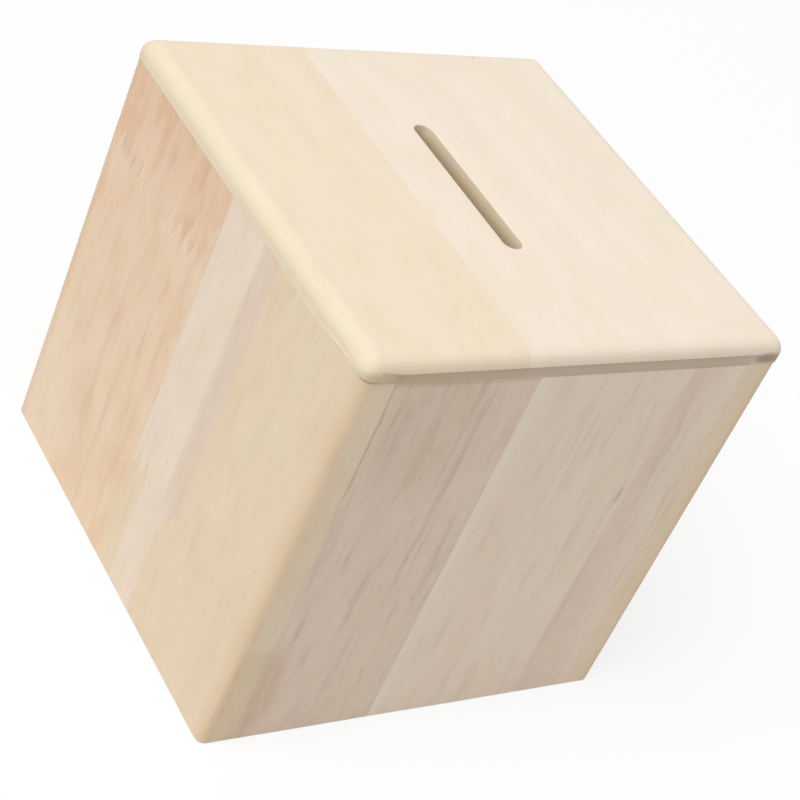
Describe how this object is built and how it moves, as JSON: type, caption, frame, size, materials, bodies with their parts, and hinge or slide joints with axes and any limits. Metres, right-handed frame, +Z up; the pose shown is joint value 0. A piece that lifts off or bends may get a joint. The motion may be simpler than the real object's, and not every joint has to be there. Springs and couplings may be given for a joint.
{
  "type": "money box",
  "caption": "Cube wooden money box of edge-glued rubberwood staves with rounded edges, a coin slot through the top and a pull-out rubber stopper in the let-in base.",
  "frame": {"origin": "middle of the box's outline at table height", "axes": "+Z up through the coin slot, -Y out of the front, +X to the right; the slot runs along Y"},
  "size_m": [0.096, 0.096, 0.095],
  "materials": {
    "cream_wood": "sanded, bare",
    "tan_wood": "sanded, bare",
    "pale_wood": "sanded, bare",
    "pink_wood": "sanded, bare",
    "plywood": "sanded, bare",
    "rubber": "matt, moulded"
  },
  "bodies": {
    "box": {"top_stave_left": "cream_wood", "top_stave_middle": "cream_wood", "top_stave_right": "cream_wood", "left_wall_front_lower": "pale_wood", "left_wall_front_upper": "pale_wood", "left_wall_rear_lower": "tan_wood", "left_wall_rear_upper": "tan_wood", "right_wall_stave_front": "pale_wood", "right_wall_stave_rear": "tan_wood", "front_wall_stave_left": "pink_wood", "front_wall_stave_middle": "pale_wood", "front_wall_stave_right": "pink_wood", "back_wall_stave_left": "pale_wood", "back_wall_stave_right": "pink_wood", "base_panel": "plywood"},
    "stopper": {"stopper": "rubber"}
  },
  "joints": [
    {"name": "stopper_pull", "type": "slide", "parent": "box", "child": "stopper", "axis": [0, 0, -1], "range_m": [0, 0.012]}
  ]
}
